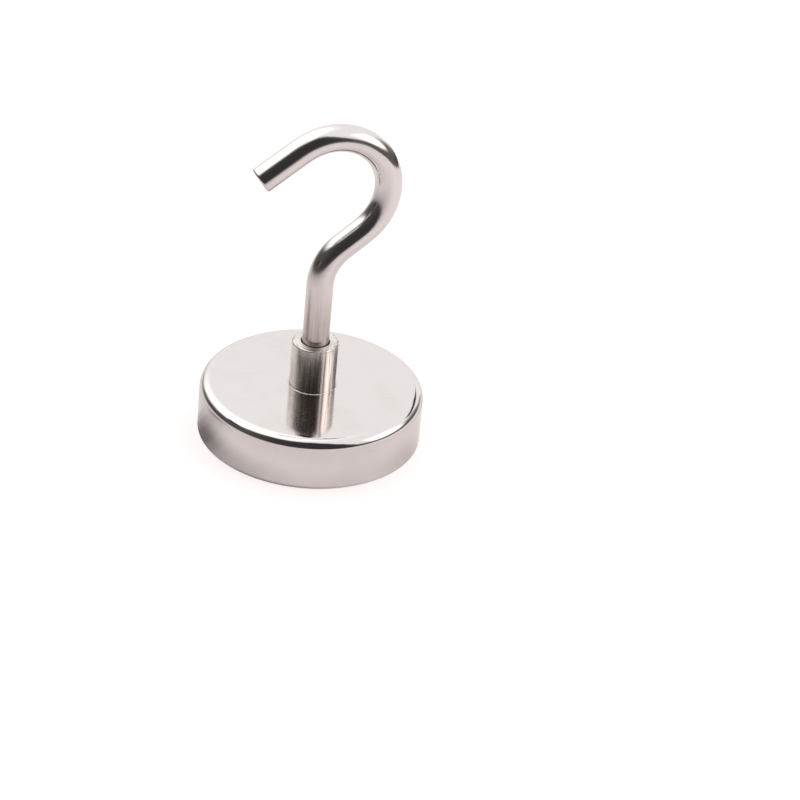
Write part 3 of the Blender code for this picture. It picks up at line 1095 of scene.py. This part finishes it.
# %% The room's dark side, and the softbox
ROOM_DISTANCE = 1.6
ROOM_FOOT = -24.0  # elevation of its lower edge
ROOM = (  # compass angle, elevation up to which it is solid, elevation where it ends, brightness
    (26, -12, -8, 0.40), (36, 4, 18, 0.50), (50, 12, 34, 0.22), (62, 11, 33, 0.16), (75, 8, 27, 0.13),
    (90, 7, 22, 0.15), (110, 7, 24, 0.14), (120, 7, 24, 0.12), (127, 9, 26, 0.10), (133, 19, 38, 0.08),
    (140, 37, 53, 0.06), (152, 52, 68, 0.05), (170, 58, 75, 0.05), (185, 56, 72, 0.05), (205, 52, 68, 0.06),
    (225, 49, 63, 0.08), (245, 41, 54, 0.11), (258, 31, 45, 0.11), (272, 24, 38, 0.11), (290, 18, 34, 0.12),
    (305, 10, 30, 0.20), (320, 2, 18, 0.45), (334, -2, 10, 0.80), (344, -12, -8, 0.90),
)
ROOM_SOFTNESS = 0.03
ROOM_HAZE = 0.40  # how much of the sky shows through at the card's foot
ROOM_HAZE_HEIGHTS = (2, -12)  # elevations where that haze starts and is full
ROOM_CLEAR = (20, 125)  # compass angles between which there is none
SOFTBOX_DISTANCE = 1.5
SOFTBOX_SIDES = (66, 120)
SOFTBOX_HEIGHTS = (8, 50)
SOFTBOX_SOFTNESS = 0.3
SOFTBOX_LEVEL = 2.8


def room_point(column, row):
    angle = within(ROOM, column)
    highest = between(ROOM, angle, 2)
    elevation = part_way(ROOM_FOOT, highest, row)
    hides = smooth(elevation, highest, between(ROOM, angle, 1)) * soft_ends(column, ROOM_SOFTNESS)
    if not ROOM_CLEAR[0] < angle < ROOM_CLEAR[1]:
        hides *= 1 - ROOM_HAZE * smooth(elevation, *ROOM_HAZE_HEIGHTS)
    return ROOM_DISTANCE * aloft(angle, elevation), hides, between(ROOM, angle, 3)


def softbox_point(column, row):
    towards = aloft(part_way(*SOFTBOX_SIDES, column), part_way(*SOFTBOX_HEIGHTS, row))
    hides = soft_ends(column, SOFTBOX_SOFTNESS) * soft_ends(row, SOFTBOX_SOFTNESS)
    return SOFTBOX_DISTANCE * towards, hides, SOFTBOX_LEVEL


make_card("room_card", 144, 60, room_point, far=True)
make_card("softbox", 32, 24, softbox_point, far=True)

# %% [markdown]
# Two small cards stand close to the pot. They are too low for the rod to see much of them, but the neck
# mirrors them by way of the pot's back, and they give it a dark line near either side.

# %% Cards close to the pot
NEAR_DISTANCE = 0.13
NEAR_FOOT = 0.072
NEAR_TOP = 0.098
NEAR_SIDE_SOFTNESS = 0.1
NEAR_TOP_SOFTNESS = 0.2
LEFT_CARD = ((-128, 0.20), (-116, 0.18), (-110, 0.02), (-98, 0.02))  # compass angle, brightness
RIGHT_CARD = ((25, 0.06), (67, 0.06))


def standing(table):
    """The point function of a low card that stands round the pot."""
    def point(column, row):
        angle = within(table, column)
        height = part_way(NEAR_FOOT, NEAR_TOP, row)
        hides = soft_ends(column, NEAR_SIDE_SOFTNESS) * soft_ends(row, NEAR_TOP_SOFTNESS)
        return NEAR_DISTANCE * compass(angle) + height * upwards, hides, between(table, angle, 1)
    return point


make_card("left_card", 96, 10, standing(LEFT_CARD))
make_card("right_card", 48, 10, standing(RIGHT_CARD))

# %% [markdown]
# The last card lies on the floor all round the pot, which mirrors it in its wall. It is darkest to the
# left, where it shades the left end of that wall, and a narrow dark band at the pot's foot draws the thin
# line at the wall's lower edge. Further out it darkens again, so that the floor fades towards the horizon
# where the rod mirrors it.

# %% The shade on the floor
SHADE_RADII = {  # distances from the pot's axis
    "start": 0.0372, "foot_end": 0.0395, "near_end": 0.040, "near_gone": 0.053, "ring_start": 0.062,
    "ring_end": 0.078, "far_start": 0.115, "end": 0.45,
}
SHADE_FAR = (0.16, 0.54)  # cover where the far shade starts, and where it ends
SHADE_CROWDING = 1.5  # above 1 the rows lie closer together near the pot
SHADE = (  # compass angle, cover at the pot's foot, near it, in a ring further out, share of the far cover
    (-250, 0.0, 0.20, 0.12, 0.0), (-225, 0.0, 0.10, 0.14, 0.2), (-205, 0.15, 0.12, 0.16, 0.55),
    (-192, 0.4, 0.13, 0.17, 0.7), (-180, 0.65, 0.11, 0.17, 0.8), (-165, 0.65, 0.20, 0.17, 1.0),
    (-150, 0.5, 0.30, 0.17, 1.0), (-136, 0.1, 0.38, 0.17, 1.0), (-128, 0.0, 0.46, 0.17, 1.0),
    (-120, 0.0, 0.62, 0.22, 1.0), (-112, 0.0, 0.76, 0.42, 1.0), (-104, 0.0, 0.75, 0.60, 1.0),
    (-98, 0.0, 0.62, 0.60, 1.0), (-91, 0.0, 0.38, 0.35, 1.0), (-84, 0.0, 0.12, 0.17, 1.0),
    (-78, 0.0, 0.18, 0.14, 1.0), (-70, 0.0, 0.35, 0.08, 0.9), (-58, 0.0, 0.20, 0.04, 0.7),
    (-42, 0.0, 0.05, 0.02, 0.4), (-25, 0.0, 0.0, 0.04, 0.3), (-12, 0.0, 0.0, 0.08, 0.3),
    (4, 0.0, 0.0, 0.05, 0.3), (30, 0.0, 0.0, 0.0, 0.1), (60, 0.0, 0.0, 0.12, 0.0),
    (85, 0.0, 0.05, 0.12, 0.0), (110, 0.0, 0.20, 0.12, 0.0),
)


def shade_point(column, row):
    radii = SHADE_RADII
    angle = within(SHADE, column)
    distance = radii["start"] * (radii["end"] / radii["start"]) ** (row ** SHADE_CROWDING)
    foot, near, ring, far = (between(SHADE, angle, place) for place in (1, 2, 3, 4))
    full_span = math.log(radii["end"] / radii["far_start"])
    outwards = max(0.0, math.log(distance / radii["far_start"]) / full_span)
    far *= part_way(*SHADE_FAR, outwards)
    hides = near + (1 - near) * foot * (1 - smooth(distance, radii["start"], radii["foot_end"]))
    hides *= 1 - smooth(distance, radii["near_end"], radii["near_gone"])
    hides += ring * smooth(distance, radii["near_end"], radii["ring_start"])
    hides += (far - hides) * smooth(distance, radii["ring_end"], radii["far_start"])
    return distance * compass(angle) + FLOOR_DROP * upwards, hides, 0.0


make_card("floor_shade", 180, 64, shade_point)
